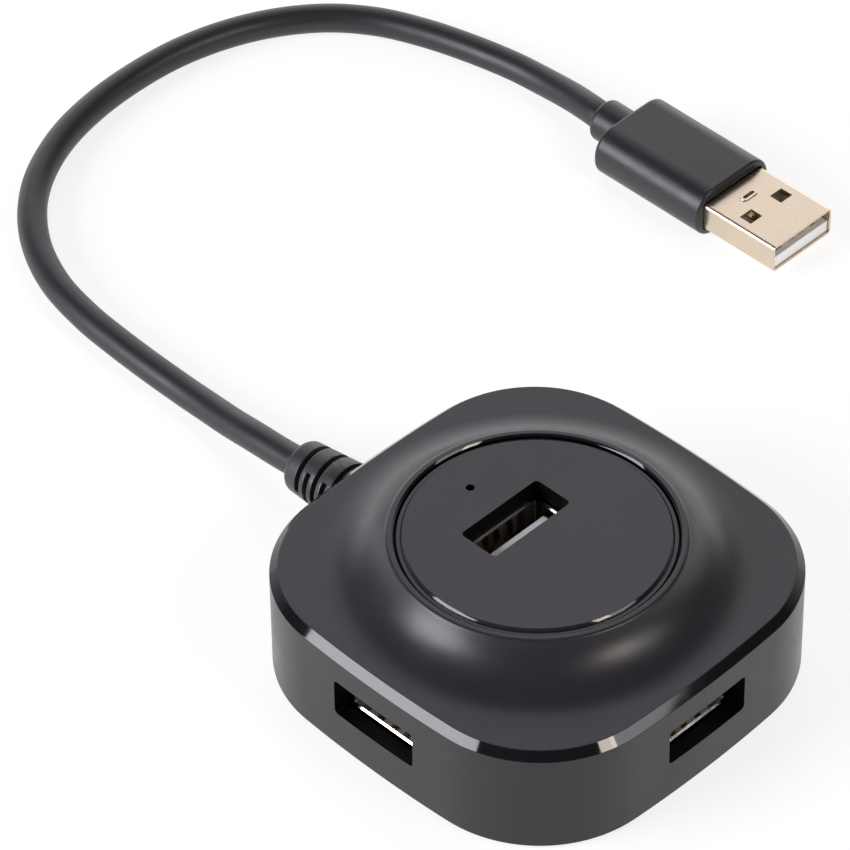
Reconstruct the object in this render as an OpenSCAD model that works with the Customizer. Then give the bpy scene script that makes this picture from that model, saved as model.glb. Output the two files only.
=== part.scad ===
// Four-port USB hub with a captive cable: a square body with a raised round crown,
// three ports in its sides, one upright port in the crown and a USB-A plug.
// Origin: on the surface under the middle of the body. +Y is the side the cable leaves from.

/* [Body] */
// Width of the square body across its flats
body_w = 60; // [60:0.5:63]
// Radius of the four upright corners
corner_r = 18; // [17:0.5:19]
// Radius of the slight outward bow of each side
side_bow_r = 200; // [160:10:300]
// Height of the deck around the crown, above the surface
deck_z = 16.9; // [16.9:0.1:17.2]
// Height of the crown's face, above the surface
crown_z = 22.2; // [22.1:0.1:22.4]
// Thickness of the side walls
wall_t = 2.2; // [1.8:0.1:2.3]
// Thickness of the deck
deck_t = 2; // [1.5:0.1:2.2]
// Size of the bright chamfer round the top edge
edge_chamfer = 1.1; // [0.6:0.1:1.3]
// How far the rubber feet lift the body
foot_proud = 0.5; // [0.3:0.1:0.8]

/* [Crown] */
// Outer radius of the crown's rim
rim_r = 19.6; // [19.4:0.1:19.8]
// Width of the bevel round the rim
rim_edge = 0.5; // [0.3:0.1:0.6]
// Slope of the hollow curve where it leaves the rim, in degrees
flare_angle = 60; // [58:1:66]
// Radius of the glossy inlay disk
disk_r = 18.1; // [17.6:0.1:18.1]
// Thickness of the inlay disk
disk_t = 1.5; // [1.2:0.1:1.5]
// Gap between the disk and its seat
disk_gap = 0.25; // [0.1:0.05:0.25]
// Width of the lowered step round the disk's face
disk_step = 0.55; // [0.3:0.05:0.7]
// Distance of the upright port from the middle of the crown
top_port_y = 3.85; // [3:0.05:4]
// Distance of the light hole from the middle of the crown
light_y = 12; // [11:0.5:13]
// Diameter of the light hole
light_d = 1.2; // [1:0.1:1.5]

/* [Ports] */
// Width of each port opening in the housing
slot_w = 14; // [13.6:0.1:14.2]
// Height of a side opening
slot_h = 5.8; // [5.7:0.1:6]
// Height of the opening in the crown
top_slot_h = 6.1; // [5.9:0.1:6.2]
// How far each socket sits behind the outer face
port_recess = 2.7; // [2.6:0.1:2.8]

/* [Cable] */
// Diameter of the cable
cable_d = 4.3; // [4:0.1:4.4]
// Length of the strain relief outside the body
relief_len = 13.5; // [12:0.1:14]
// Radius of the strain relief at the body
relief_root_r = 4.7; // [4.5:0.05:4.8]
// Radius of the strain relief near its end
relief_tip_r = 3.8; // [3.6:0.05:4]
// Width of each flexing slot in the strain relief
relief_slot = 0.85; // [0.6:0.05:1]

/* [Plug] */
// Width of the plug's metal shell
plug_w = 12; // [12:0.05:12.1]
// Thickness of the plug's metal shell
plug_h = 4.5; // [4.5:0.05:4.6]
// Length of the shell in front of its grip
plug_out = 13.2; // [12:0.1:13.5]
// Length of the plug's grip
grip_len = 20.2; // [18:0.1:21]
// Width of the plug's grip
grip_w = 14.8; // [14:0.1:16]
// Thickness of the plug's grip
grip_t = 8; // [7.6:0.1:8]

/* [Hidden] */

EPS = 0.01;
FN = 96;
SMALL_FN = 32;

// --- Body outline: four bowed sides joined by four corner arcs, all tangent.
half_w = body_w / 2;
bow_offset = side_bow_r - half_w;
bow_minus_corner = side_bow_r - corner_r;
corner_c = (sqrt(2 * pow(bow_minus_corner, 2) - pow(bow_offset, 2)) - bow_offset) / 2;
bow_angle = atan2(corner_c, corner_c + bow_offset);
BOW_FN = 720;
join_w = 0.02;

// --- Levels above the surface.
body_z = foot_proud;
cover_t = 1.8;
cover_top_z = body_z + cover_t;
deck_under_z = deck_z - deck_t;
board_t = 1.6;
board_top_z = 6.5;
board_z = board_top_z - board_t;
board_half_w = 26.4;
board_corner_r = 31.2;
board_notch_y = 21.5;
seat_z = crown_z - disk_t;
web_t = 1.1;
web_z = seat_z - web_t;
rim_foot_z = crown_z - deck_z - rim_edge * tan(30);
flare_r = rim_foot_z / (1 - cos(flare_angle));
flare_end = rim_r + flare_r * sin(flare_angle);

// --- USB-A socket, from the standard: shell, opening, tongue and contact pitch.
shell_w = 13.1;
shell_h = 5.7;
shell_t = 0.3;
shell_out_r = 0.6;
shell_in_r = 0.15;
side_depth = 14;
mouth_len = 0.25;
mouth_flare = 0.22;
mouth_w = 11;
mouth_side_h = 3;
tongue_w = 11.1;
tongue_t = 1.84;
tongue_gap = 0.7;
tongue_start = 0.4;
block_start = 10;
contact_w = 1;
contact_t = 0.25;
contact_x = [-3.5, -1, 1, 3.5];
tongue_face_z = shell_h - shell_t - tongue_gap - tongue_t;
contact_top_z = tongue_face_z + 0.2;
fit = 0.05;
pin_len = 2.3;

side_port_z = board_top_z;
port_face = half_w - port_recess;
top_port_z = crown_z - port_recess;
top_depth = top_port_z - board_top_z;

// --- Screws, bosses, posts and feet.
boss_xy = 18.5;
boss_r = 2.6;
screw_r = 1.1;
screw_head_r = 2;
screw_head_t = 1.3;
screw_seat_z = body_z + 2.1;
pad_top_z = body_z + 3.5;
screw_len = 7;
foot_r = 4;
foot_t = 1.2;
post_x = 22;
post_y = 11;
post_r = 2;

// --- Strain relief and cable.
relief_z = 6.4;
relief_neck_r = 3.75;
relief_droop = 4;
relief_lead = 0.4;
relief_dir = [0, cos(relief_droop), -sin(relief_droop)];
relief_up = [0, sin(relief_droop), cos(relief_droop)];
relief_end = [0, half_w + relief_lead, relief_z] + relief_len * relief_dir;
relief_pitch = 1.6;
relief_slots = 6;
flange_r = 5;
flange_t = 2.2;
relief_bore_r = 1.4;
wire_r = 0.45;
wire_off = 0.55;

// --- Plug, lying on the surface and pointing to -Y.
plug_x = 81.8;
plug_z = grip_t / 2;
grip_y = 40.4;
tip_y = grip_y - plug_out;
grip_end_y = grip_y + grip_len;
collar_len = 5;
collar_r = 3.2;
collar_end_y = grip_end_y + collar_len;
plug_shell_len = 18.8;
plug_tongue_t = 1.95;

// Route of the cable's middle, from the strain relief down to the surface and on to the plug.
CABLE_ROUTE = [
    relief_end, relief_end + 0.6 * relief_dir, [0, 46, 5.1], [0.1, 49, 4.7], [0.3, 53, 4.2],
    [0.7, 58, 3.3], [1.15, 63, 2.6], [1.4, 68, 2.2], [1.5, 75, 2.2], [1.8, 82, 2.2], [2.4, 89, 2.2],
    [4.05, 97, 2.2], [7.4, 104.6, 2.2], [12.3, 111.1, 2.2], [18.4, 116.1, 2.2], [26, 119.8, 2.2],
    [34, 121.8, 2.2], [42.5, 122.5, 2.2], [51, 122, 2.2], [59, 120, 2.2], [66, 116.7, 2.2],
    [72, 112, 2.2], [76.5, 106, 2.2], [79.5, 99, 2.2], [81.5, 92, 2.2], [82.9, 85, 2.2],
    [83.3, 79, 2.4], [83, 73, 3.1], [82.4, 69.2, 3.7], [82, 66.9, 4], [plug_x, collar_end_y, plug_z]
];
CABLE_SIDES = 12;
CABLE_STEPS = 2;
WIRE_SIDES = 8;

// ---------------------------------------------------------------- outline helpers

// Area of the +X side, out from the middle and between the centres of its two corner arcs.
module side_zone() {
    reach = corner_r + 5;
    far_x = corner_c + reach * cos(bow_angle);
    far_y = corner_c + reach * sin(bow_angle);
    polygon([[0, 0], [corner_c, -corner_c], [far_x, -far_y], [far_x, far_y], [corner_c, corner_c]]);
}

module at_corners(d) {
    for (x = [-1, 1], y = [-1, 1]) translate([d * x, d * y, 0]) children();
}

// Upright block of the body outline, moved inward by inset.
module outline_block(inset, z, h) {
    translate([0, 0, z]) {
        for (k = [0:3]) rotate(90 * k) intersection() {
            translate([-bow_offset, 0, 0]) cylinder(h = h, r = side_bow_r - inset, $fn = BOW_FN);
            linear_extrude(h) side_zone();
        }
        at_corners(corner_c) cylinder(h = h, r = corner_r - inset, $fn = FN);
    }
}

// What the top edge loses to its chamfer: a three-cornered bar along each side and corner.
// A thin straight bar over each join takes away the skin that would be left between two of them.
module edge_bars() {
    c = edge_chamfer;
    for (k = [0:3]) rotate(90 * k) translate([0, 0, deck_z]) {
        translate([-bow_offset, 0, 0]) rotate(-bow_angle)
            rotate_extrude(angle = 2 * bow_angle, $fn = BOW_FN) edge_bar_section(side_bow_r, c);
        translate([corner_c, corner_c, 0]) {
            rotate(bow_angle) rotate_extrude(angle = 90 - 2 * bow_angle, $fn = FN)
                edge_bar_section(corner_r, c);
            for (a = [bow_angle, 90 - bow_angle]) rotate(a) translate([0, join_w / 2, 0])
                rotate([90, 0, 0]) linear_extrude(join_w) edge_bar_section(corner_r, c + EPS);
        }
    }
}

module edge_bar_section(r, c) {
    polygon([[r - c - 1, 1], [r + 1, -c - 1], [r + 1, 1]]);
}

// Rectangle with round corners, centred.
module round_rect(w, h, r) {
    square([w - 2 * r, h], center = true);
    square([w, h - 2 * r], center = true);
    for (x = [-1, 1], y = [-1, 1]) translate([x * (w / 2 - r), y * (h / 2 - r)]) circle(r, $fn = SMALL_FN);
}

// Puts a socket, drawn with its mouth at y = 0 and its depth along +Y, on a side of the board.
module on_side(angle) {
    rotate(angle) translate([0, -port_face, side_port_z]) children();
}

// Stands a socket on the board with its mouth up and its tongue towards the front.
module upright() {
    translate([0, top_port_y + shell_h / 2, top_port_z]) rotate([-90, 0, 180]) children();
}

// ---------------------------------------------------------------- housing

// Section of the crown above the deck: flat rim, bevelled edge and a long hollow curve.
module crown_section() {
    rise = crown_z - deck_z;
    foot = deck_t / 2;
    difference() {
        polygon([
            [0, -foot], [flare_end, -foot], [flare_end, 1], [rim_r + 1, rim_foot_z - tan(30)],
            [rim_r - rim_edge, rise], [0, rise]
        ]);
        translate([flare_end, flare_r]) circle(flare_r, $fn = FN);
    }
}

// Hollow under the crown, down to the inside of the deck.
module crown_hollow() {
    inner_r = disk_r - 0.6;
    flare = 4.4;
    rotate_extrude($fn = FN) polygon([
        [0, deck_under_z - 1], [inner_r + flare, deck_under_z - 1], [inner_r + flare, deck_under_z],
        [inner_r, deck_under_z + flare], [inner_r, web_z], [0, web_z]
    ]);
}

// Opening for a side socket, through the wall.
module side_slot() {
    translate([0, wall_t + 2, slot_h / 2]) rotate([90, 0, 0])
        linear_extrude(wall_t + 3) round_rect(slot_w, slot_h, 0.4);
}

module top_housing() {
    top_y = top_port_y;
    color("#3c3c41") difference() {
        union() {
            difference() {
                union() {
                    difference() {
                        outline_block(0, body_z, deck_z - body_z);
                        edge_bars();
                    }
                    translate([0, 0, deck_z]) rotate_extrude($fn = FN) crown_section();
                }
                outline_block(wall_t, body_z - 1, deck_under_z - body_z + 1);
                crown_hollow();
            }
            at_corners(boss_xy) translate([0, 0, pad_top_z])
                cylinder(h = deck_under_z - pad_top_z + EPS, r = boss_r, $fn = SMALL_FN);
            for (x = [-1, 1], y = [-1, 1]) translate([x * post_x, y * post_y, board_top_z])
                cylinder(h = deck_under_z - board_top_z + EPS, r = post_r, $fn = SMALL_FN);
            translate([0, light_y, web_z - 6]) cylinder(h = 6 + EPS, r = 2, $fn = SMALL_FN);
        }
        translate([0, 0, seat_z]) cylinder(h = disk_t + 1, r = disk_r + disk_gap, $fn = FN);
        for (a = [-90, 0, 90]) rotate(a)
            translate([0, -half_w - 1, side_port_z - (slot_h - shell_h) / 2]) side_slot();
        translate([0, top_y, web_z - 1]) linear_extrude(web_t + 2) round_rect(slot_w, top_slot_h, 0.4);
        translate([0, light_y, web_z - 7]) cylinder(h = 6, r = 1.3, $fn = SMALL_FN);
        translate([0, light_y, web_z - 2]) cylinder(h = web_t + 3, r = light_d / 2 + fit, $fn = SMALL_FN);
        translate([0, half_w - wall_t - 1, relief_z]) rotate([-90, 0, 0])
            cylinder(h = wall_t + 2, r = relief_neck_r + fit, $fn = FN);
        at_corners(boss_xy) translate([0, 0, pad_top_z - 1])
            cylinder(h = screw_len + 1, r = screw_r + fit, $fn = SMALL_FN);
        for (x = [-1, 1], y = [-1, 1]) translate([x * post_x, y * post_y, board_top_z - 1])
            cylinder(h = 2, r = 1, $fn = SMALL_FN);
    }
}

module bottom_cover() {
    color("#333338") difference() {
        union() {
            outline_block(wall_t + 0.1, body_z, cover_t);
            at_corners(boss_xy) translate([0, 0, cover_top_z - EPS])
                cylinder(h = pad_top_z - cover_top_z + EPS, r = 3.4, $fn = SMALL_FN);
            for (x = [-1, 1], y = [-1, 1]) translate([x * post_x, y * post_y, cover_top_z - EPS]) {
                cylinder(h = board_z - cover_top_z + EPS, r = post_r, $fn = SMALL_FN);
                cylinder(h = board_top_z - cover_top_z - 0.2, r = 0.9, $fn = SMALL_FN);
            }
        }
        at_corners(boss_xy) translate([0, 0, body_z - 1]) {
            cylinder(h = 1 + foot_t - foot_proud, r = foot_r + fit, $fn = FN);
            cylinder(h = screw_seat_z - body_z + 1, r = screw_head_r + 0.15, $fn = SMALL_FN);
            cylinder(h = 6, r = screw_r + 0.15, $fn = SMALL_FN);
        }
    }
}

module crown_disk() {
    face_r = disk_r - disk_step;
    low = disk_t - 0.5;
    color("#4c4b50") difference() {
        translate([0, 0, seat_z]) rotate_extrude($fn = FN) polygon([
            [0, 0], [disk_r, 0], [disk_r, low], [face_r, low], [face_r, disk_t], [0, disk_t]
        ]);
        translate([0, top_port_y, seat_z - 1]) linear_extrude(disk_t + 2) round_rect(slot_w, top_slot_h, 0.4);
        translate([0, light_y, seat_z - 1]) cylinder(h = disk_t + 2, r = light_d / 2, $fn = SMALL_FN);
    }
}

// Clear rod that carries the light from the board up to the crown.
module light_pipe() {
    base_z = board_top_z + 1.1;
    shoulder_z = web_z - 1.1;
    tip_z = crown_z - 0.9;
    color("#dfe8ee") translate([0, light_y, 0]) {
        translate([0, 0, base_z]) cylinder(h = shoulder_z - base_z, r = 1.2, $fn = SMALL_FN);
        translate([0, 0, shoulder_z - EPS])
            cylinder(h = tip_z - shoulder_z + EPS, r = light_d / 2 - fit, $fn = SMALL_FN);
    }
}

module rubber_feet() {
    color("#26262a") at_corners(boss_xy) rotate_extrude($fn = FN) polygon([
        [0, 0], [foot_r - 0.4, 0], [foot_r, 0.4], [foot_r, foot_t], [0, foot_t]
    ]);
}

// Self-tapping screws, hidden under the feet.
module case_screws() {
    color("#b9bcc0") at_corners(boss_xy) difference() {
        translate([0, 0, screw_seat_z]) {
            translate([0, 0, -screw_head_t]) cylinder(h = screw_head_t, r = screw_head_r, $fn = SMALL_FN);
            translate([0, 0, -EPS]) cylinder(h = screw_len, r = screw_r, $fn = SMALL_FN);
        }
        for (a = [0, 90]) rotate(a) translate([0, 0, screw_seat_z - screw_head_t])
            cube([2.2, 0.5, 1.6], center = true);
    }
}

// ---------------------------------------------------------------- circuit board

// Places of a side socket's contact tails and shell legs, drawn as the socket is.
module tail_holes() {
    for (x = contact_x) translate([x, 12.2, -board_t - 1])
        cylinder(h = board_t + 2, r = 0.65, $fn = SMALL_FN);
    for (s = [-1, 1], y = [4, 11]) translate([s * (shell_w / 2 - shell_t / 2), y, -board_t / 2])
        cube([0.8, 2.6, board_t + 1], center = true);
}

// Places of the upright socket's tails and legs, drawn looking down on the board.
module top_tail_holes() {
    tail_y = top_port_y + shell_h / 2 - contact_top_z + contact_t / 2;
    for (x = contact_x) translate([x, tail_y, -board_t - 1])
        cylinder(h = board_t + 2, r = 0.65, $fn = SMALL_FN);
    for (s = [-1, 1]) translate([s * (shell_w / 2 - shell_t / 2), top_port_y, -board_t / 2])
        cube([0.8, 2.6, board_t + 1], center = true);
}

module circuit_board() {
    color("#1f5a37") difference() {
        intersection() {
            translate([0, 0, board_z + board_t / 2])
                cube([2 * board_half_w, 2 * board_half_w, board_t], center = true);
            translate([0, 0, board_z]) cylinder(h = board_t, r = board_corner_r, $fn = FN);
        }
        at_corners(boss_xy) translate([0, 0, board_z - 1])
            cylinder(h = board_t + 2, r = boss_r + 0.5, $fn = SMALL_FN);
        for (x = [-1, 1], y = [-1, 1]) translate([x * post_x, y * post_y, board_z - 1])
            cylinder(h = board_t + 2, r = 1, $fn = SMALL_FN);
        translate([-7, board_notch_y, board_z - 1]) cube([14, 10, board_t + 2]);
        for (a = [-90, 0, 90]) on_side(a) tail_holes();
        translate([0, 0, board_top_z]) top_tail_holes();
    }
}

// ---------------------------------------------------------------- sockets

// One flared lip of a socket's mouth, its middle on the z = 0 wall of the shell.
module mouth_lip(w) {
    rotate([90, 0, 90]) translate([0, 0, -w / 2]) linear_extrude(w) polygon([
        [0, -mouth_flare], [mouth_len + EPS, 0], [mouth_len + EPS, shell_t], [0, shell_t - mouth_flare]
    ]);
}

// Spring finger cut into a wall of the shell: the gap round it.
module finger_gap() {
    for (s = [-1, 1]) translate([s * 0.95, 0, 0]) cube([0.3, 5, 2], center = true);
    translate([0, -2.4, 0]) cube([2.2, 0.3, 2], center = true);
}

// Bent tube of a socket. Its legs pass down through z = 0, which is then open round the tails of
// the contacts, or, with back_legs, they run on from its back.
module port_shell(depth, back_legs) {
    mid_z = shell_h / 2;
    leg_w = 2.2;
    color("#c9cbce") difference() {
        union() {
            translate([0, depth, mid_z]) rotate([90, 0, 0]) linear_extrude(depth - mouth_len) difference() {
                round_rect(shell_w, shell_h, shell_out_r);
                round_rect(shell_w - 2 * shell_t, shell_h - 2 * shell_t, shell_in_r);
            }
            mouth_lip(mouth_w);
            translate([0, 0, shell_h]) mirror([0, 0, 1]) mouth_lip(mouth_w);
            for (s = [0, 1]) mirror([s, 0, 0]) translate([-shell_w / 2, 0, mid_z]) rotate([0, 90, 0])
                mouth_lip(mouth_side_h);
            if (back_legs)
                for (s = [-1, 1]) translate([s * (shell_w / 2 - shell_t / 2), depth + 1, mid_z])
                    cube([shell_t, 2 + EPS, leg_w], center = true);
            else
                for (s = [-1, 1], y = [4, 11])
                    translate([s * (shell_w / 2 - shell_t / 2), y, -pin_len / 2 + 0.5])
                        cube([shell_t, leg_w, pin_len + 1], center = true);
        }
        for (x = [-3, 3], z = [0, shell_h]) translate([x, 6, z]) finger_gap();
        if (!back_legs)
            translate([-4.6, depth - 2.6, -0.5]) cube([9.2, 3, 1]);
    }
}

// Insulator of a socket: the tongue and the block behind it, with grooves for the contacts.
module port_tongue(depth, straight) {
    block_d = depth - block_start - 0.2;
    gap_w = contact_w + 2 * fit;
    color("#ecebe6") difference() {
        union() {
            translate([-tongue_w / 2, tongue_start, tongue_face_z]) cube([tongue_w, block_start, tongue_t]);
            translate([-shell_w / 2 + shell_t + fit, block_start, shell_t + fit])
                cube([shell_w - 2 * shell_t - 2 * fit, block_d, shell_h - 2 * shell_t - 2 * fit]);
        }
        for (x = contact_x) translate([x - gap_w / 2, 0, 0]) {
            translate([0, 1.2, tongue_face_z - EPS]) cube([gap_w, block_start, 0.3 + EPS]);
            translate([0, block_start - 1, tongue_face_z - contact_t - fit])
                cube([gap_w, straight ? 6 : 3.4, contact_t + 0.3 + fit]);
            if (!straight)
                translate([0, 12, -1]) cube([gap_w, 0.4, tongue_face_z + 1]);
        }
        for (s = [-1, 1]) translate([s * tongue_w / 2, tongue_start, tongue_face_z + tongue_t / 2])
            rotate(45) cube([0.7, 0.7, tongue_t + 1], center = true);
    }
}

// Four spring contacts, each a strip that bows out of the tongue and ends in a solder tail.
module port_contacts(straight) {
    top = contact_top_z;
    t = contact_t;
    bow = 0.75;
    tail = straight ? top_depth + pin_len : 12.05;
    spring = [[1.4, 0], [2.6, -0.1], [4, -bow], [5.2, -bow], [8.6, 0], [tail, 0]];
    upper = [for (p = spring) [p.x, top + p.y]];
    lower = [for (k = [len(spring) - 1:-1:0]) [spring[k].x, top + spring[k].y - t]];
    color("#d8b35a") for (x = contact_x) translate([x - contact_w / 2, 0, 0]) rotate([90, 0, 90])
        linear_extrude(contact_w) {
            polygon(concat(upper, lower));
            if (!straight)
                translate([tail - EPS, -pin_len]) square([t + EPS, top + pin_len]);
        }
}

module left_port_shell() { on_side(-90) port_shell(side_depth, false); }
module front_port_shell() { on_side(0) port_shell(side_depth, false); }
module right_port_shell() { on_side(90) port_shell(side_depth, false); }
module top_port_shell() { upright() port_shell(top_depth, true); }
module left_port_tongue() { on_side(-90) port_tongue(side_depth, false); }
module front_port_tongue() { on_side(0) port_tongue(side_depth, false); }
module right_port_tongue() { on_side(90) port_tongue(side_depth, false); }
module top_port_tongue() { upright() port_tongue(top_depth, true); }
module left_port_contacts() { on_side(-90) port_contacts(false); }
module front_port_contacts() { on_side(0) port_contacts(false); }
module right_port_contacts() { on_side(90) port_contacts(false); }
module top_port_contacts() { upright() port_contacts(true); }

// ---------------------------------------------------------------- parts on the board

// Controller in a 16-lead package.
module hub_chip() {
    body = [9.9, 3.9, 1.4];
    translate([12.5, 12, board_top_z]) {
        color("#1d1d20") difference() {
            translate([-body.x / 2, -body.y / 2, 0.15]) cube(body);
            translate([-body.x / 2 + 1, 0, body.z + 0.1]) cylinder(h = 1, r = 0.45, $fn = SMALL_FN);
        }
        color("#c4c6c9") for (k = [0:7], s = [-1, 1])
            translate([(k - 3.5) * 1.27, s * (body.y / 2 + 0.5), 0.15])
                cube([0.42, 1 + 2 * EPS, 0.3], center = true);
    }
}

// Quartz crystal in a low metal can with round ends.
module crystal() {
    color("#c6c8cc") translate([-13, 12.5, board_top_z]) {
        linear_extrude(0.5) round_rect(11, 4.4, 2.1);
        translate([0, 0, 0.5 - EPS]) linear_extrude(3) round_rect(10.2, 3.6, 1.7);
    }
}

module status_led() {
    color("#f3f1e6") translate([0, light_y, board_top_z]) {
        translate([-0.8, -0.4, 0]) cube([1.6, 0.8, 0.4]);
        translate([-0.5, -0.4, 0.4 - EPS]) cube([1, 0.8, 0.4]);
    }
}

// Upright electrolytic cans that steady the supply of the ports.
module can_capacitors() {
    color("#aeb2b8") for (s = [-1, 1]) translate([s * 12, -12, board_top_z]) {
        translate([-2.6, -2.6, 0]) cube([5.2, 5.2, 0.8]);
        translate([0, 0, 0.8 - EPS]) cylinder(h = 4.6, r = 2.5, $fn = SMALL_FN);
    }
}

// Block of one chip component, middle at the origin and standing on z = 0.
module chip_part(l, w, h) {
    translate([-l / 2, -w / 2, 0]) cube([l, w, h]);
}

module chip_capacitors() {
    color("#b59a72") translate([0, 0, board_top_z]) {
        for (k = [0:3]) translate([-4.5 + 3 * k, -10.5, 0]) chip_part(1.6, 0.8, 0.8);
        for (s = [-1, 1]) translate([s * 19, -9.5, 0]) rotate(90) chip_part(2, 1.25, 0.9);
    }
}

module chip_resistors() {
    color("#2a2a2d") translate([0, 0, board_top_z]) {
        for (k = [0:3]) translate([-4.5 + 3 * k, -3, 0]) rotate(90) chip_part(1.6, 0.8, 0.5);
        for (k = [0:2]) translate([8 + 3 * k, 17.6, 0]) chip_part(1.6, 0.8, 0.5);
    }
}

// ---------------------------------------------------------------- cable

// Smooth point between points k and k + 1 of a route.
function route_at(route, k, t) =
    let (n = len(route) - 1,
         a = route[max(k - 1, 0)], b = route[k], c = route[k + 1], d = route[min(k + 2, n)])
    0.5 * (2 * b + (c - a) * t + (2 * a - 5 * b + 4 * c - d) * t * t + (3 * b - a - 3 * c + d) * t * t * t);

// The route with extra smooth points, so that each stretch has this many steps.
function smooth_line(route, steps) = [
    for (k = [0:len(route) - 2], s = [0:steps - 1]) route_at(route, k, s / steps),
    route[len(route) - 1]
];

function unit(v) = v / norm(v);

// Direction of a line at point k, between those given for its ends.
function line_dir(line, k, first_dir, last_dir) =
    k == 0 ? first_dir
    : k == len(line) - 1 ? last_dir
    : unit(unit(line[k + 1] - line[k]) + unit(line[k] - line[k - 1]));

// Ring of points round a line, square to dir.
function ring(middle, dir, r, sides) =
    let (side = unit(cross(dir, [0, 0, 1])), up = cross(side, dir))
    [for (s = [0:sides - 1]) let (a = 360 * s / sides) middle + r * (cos(a) * side + sin(a) * up)];

// Round tube that follows a line, with flat ends.
module tube(line, r, sides, first_dir, last_dir) {
    rings = len(line);
    points = [for (k = [0:rings - 1]) each ring(line[k], line_dir(line, k, first_dir, last_dir), r, sides)];
    walls = [
        for (k = [0:rings - 2], s = [0:sides - 1])
            let (a = k * sides + s, b = k * sides + (s + 1) % sides)
            [a, a + sides, b + sides, b]
    ];
    first = [for (s = [0:sides - 1]) s];
    last = [for (s = [sides - 1:-1:0]) (rings - 1) * sides + s];
    polyhedron(points, concat([first], walls, [last]), convexity = 10);
}

// Four wires from the board, over its edge and through the strain relief to the cable.
module cable_wires() {
    shades = ["#b3202a", "#e8e8e8", "#1f7a3d", "#222225"];
    for (k = [0:3]) {
        pad_x = 2.4 * (k - 1.5);
        row = k == 0 || k == 3 ? 1 : -1;
        in_x = k < 2 ? -wire_off : wire_off;
        in_z = relief_z + row * wire_off;
        line = [
            [pad_x, 17.5, board_top_z + wire_r],
            [0.7 * pad_x, board_notch_y - 1, board_top_z + wire_r + 1 + 0.3 * row],
            [in_x, board_notch_y + 3.2, in_z],
            [in_x, half_w + relief_lead, in_z],
            relief_end + [in_x, 0, 0] + row * wire_off * relief_up
        ];
        color(shades[k]) tube(line, wire_r, WIRE_SIDES, [0, 1, 0], relief_dir);
    }
}

// One slot of the strain relief: a ring over an arc, centred on the given direction.
module relief_cut(d, middle, span) {
    depth_r = cable_d / 2 + 0.35;
    rotate(middle - span / 2) rotate_extrude(angle = span, $fn = FN)
        translate([depth_r, d - relief_slot / 2]) square([4, relief_slot]);
}

// Tapered sleeve of the strain relief along +Z, with a rounded end.
module relief_sleeve() {
    tip = 1.2;
    straight = relief_len - tip;
    rotate_extrude($fn = FN) {
        polygon([[0, 0], [relief_root_r, 0], [relief_tip_r, straight], [0, straight]]);
        translate([0, straight]) square([relief_tip_r - tip, tip]);
        intersection() {
            translate([relief_tip_r - tip, straight]) circle(tip, $fn = FN);
            translate([0, straight]) square([relief_tip_r, tip]);
        }
    }
}

module strain_relief() {
    inner_y = half_w - wall_t - flange_t - 0.15;
    color("#3a3a3e") difference() {
        union() {
            translate([0, half_w + relief_lead, relief_z]) rotate([-90 - relief_droop, 0, 0]) difference() {
                relief_sleeve();
                for (k = [0:relief_slots - 1]) let (upper = k % 2 == 0)
                    relief_cut(relief_len - 3.2 - relief_pitch * k, upper ? -90 : 90, upper ? 200 : 270);
            }
            translate([0, half_w, relief_z]) rotate([-90, 0, 0])
                cylinder(h = relief_lead + 0.8, r = relief_neck_r + 0.35, $fn = FN);
            intersection() {
                translate([0, inner_y, relief_z]) rotate([-90, 0, 0]) {
                    cylinder(h = flange_t, r = flange_r, $fn = FN);
                    cylinder(h = half_w - inner_y + EPS, r = relief_neck_r, $fn = FN);
                }
                translate([-10, inner_y - 1, cover_top_z + fit]) cube([20, 10, 20]);
            }
        }
        translate([0, inner_y - 1, relief_z]) rotate([-90, 0, 0])
            cylinder(h = half_w - inner_y + relief_lead + 1.5, r = relief_bore_r + 0.2, $fn = SMALL_FN);
        translate([0, half_w + relief_lead, relief_z]) rotate([-90 - relief_droop, 0, 0])
            cylinder(h = relief_len + 1, r = relief_bore_r, $fn = SMALL_FN);
    }
}

module cable() {
    line = smooth_line(CABLE_ROUTE, CABLE_STEPS);
    color("#36363a") tube(line, cable_d / 2, CABLE_SIDES, relief_dir, [0, -1, 0]);
}

// ---------------------------------------------------------------- plug

module plug_grip() {
    r = 3.7;
    c = 0.5;
    l = grip_len;
    end_c = 0.8;
    color("#2f2f33") difference() {
        translate([plug_x, grip_y, plug_z]) union() {
            translate([-grip_w / 2 + r, 0, 0]) rotate([90, 0, 90]) linear_extrude(grip_w - 2 * r)
                chamfered(l, grip_t, c);
            translate([0, 0, -grip_t / 2 + r]) linear_extrude(grip_t - 2 * r) rotate(90)
                chamfered(l, grip_w, c);
            for (x = [-1, 1], z = [-1, 1])
                translate([x * (grip_w / 2 - r), 0, z * (grip_t / 2 - r)]) rotate([-90, 0, 0]) {
                    cylinder(h = c, r1 = r - c, r2 = r, $fn = FN);
                    translate([0, 0, c]) cylinder(h = l - 2 * c, r = r, $fn = FN);
                    translate([0, 0, l - c]) cylinder(h = c, r1 = r, r2 = r - c, $fn = FN);
                }
            translate([0, l - EPS, 0]) rotate([-90, 0, 0]) {
                cylinder(h = collar_len - end_c + EPS, r = collar_r, $fn = FN);
                translate([0, 0, collar_len - end_c])
                    cylinder(h = end_c + EPS, r1 = collar_r, r2 = collar_r - end_c, $fn = FN);
            }
        }
        translate([plug_x, tip_y + plug_shell_len + fit, plug_z]) rotate([90, 0, 0])
            linear_extrude(plug_shell_len) round_rect(plug_w + 2 * fit, plug_h + 2 * fit, shell_out_r);
    }
}

// Rectangle from y = 0 to length l, of the given width, with its corners cut off.
module chamfered(l, w, c) {
    polygon([
        [0, -w / 2 + c], [c, -w / 2], [l - c, -w / 2], [l, -w / 2 + c],
        [l, w / 2 - c], [l - c, w / 2], [c, w / 2], [0, w / 2 - c]
    ]);
}

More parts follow.
